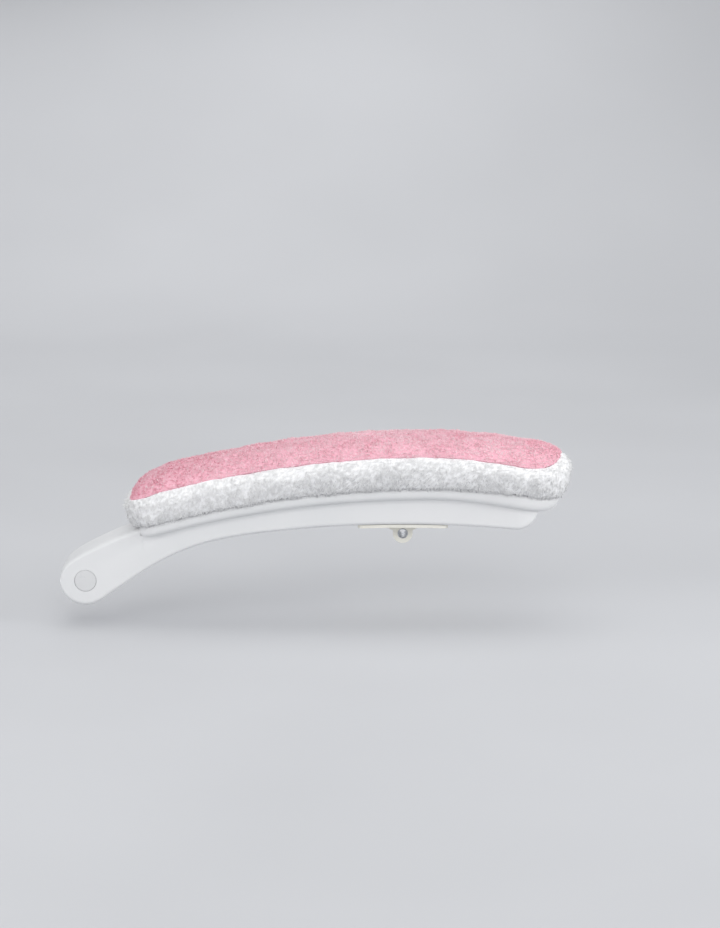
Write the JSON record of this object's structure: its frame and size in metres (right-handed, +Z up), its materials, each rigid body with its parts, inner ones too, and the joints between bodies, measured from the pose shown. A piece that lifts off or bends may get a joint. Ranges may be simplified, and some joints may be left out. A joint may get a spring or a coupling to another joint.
{
  "type": "chair armrest pad",
  "caption": "Plush armrest pad on a white moulded carrier beam that slides on a block over the side bracket and pivots on a bolt at the backrest of a reclining chair.",
  "frame": {"origin": "centre of the slide block's cross bore, with the pad in the middle of its travel", "axes": "+X to the front of the chair, +Y towards the seat (so -Y is the outer side), +Z up"},
  "size_m": [0.4929, 0.0994, 0.1636],
  "materials": {
    "pink_plush": "short matted teddy plush",
    "white_plush": "longer combed teddy plush",
    "foam": "open cell polyurethane foam",
    "plywood": "bare bent plywood",
    "white_plastic": "satin moulded polypropylene",
    "white_cap": "semi gloss moulded plug",
    "nylon": "natural nylon",
    "zinc_steel": "bright zinc plated",
    "black_rubber": "moulded rubber"
  },
  "bodies": {
    "slide_block": {"slide_block": "nylon", "slide_retainer": "zinc_steel", "retainer_screws": "zinc_steel", "pin_sleeve": "zinc_steel"},
    "pad": {"top_panel": "pink_plush", "side_band": "white_plush", "foam_core": "foam", "base_board": "plywood", "board_tnuts": "zinc_steel", "hem_staples": "zinc_steel", "rim_tray": "white_plastic", "arm_beam": "white_plastic", "track_plate": "zinc_steel", "track_screws": "zinc_steel", "end_bumpers": "black_rubber", "pad_screws": "zinc_steel", "pad_screw_washers": "zinc_steel", "pivot_bushes": "nylon", "pivot_cap": "white_cap"},
    "pivot_bolt": {"pivot_sleeve": "zinc_steel", "pivot_bolt": "zinc_steel", "pivot_washer": "zinc_steel", "pivot_spacer": "zinc_steel"}
  },
  "joints": [
    {"name": "pad_slide", "type": "hinge", "parent": "slide_block", "child": "pad", "pos_m": [0, 0, -1.087], "axis": [0, 1, 0], "range_deg": [-3.38, 3.38]},
    {"name": "backrest_pivot", "type": "hinge", "parent": "pad", "child": "pivot_bolt", "pos_m": [-0.306, 0, -0.0423], "axis": [0, 1, 0], "range_deg": [-25, 20]}
  ]
}
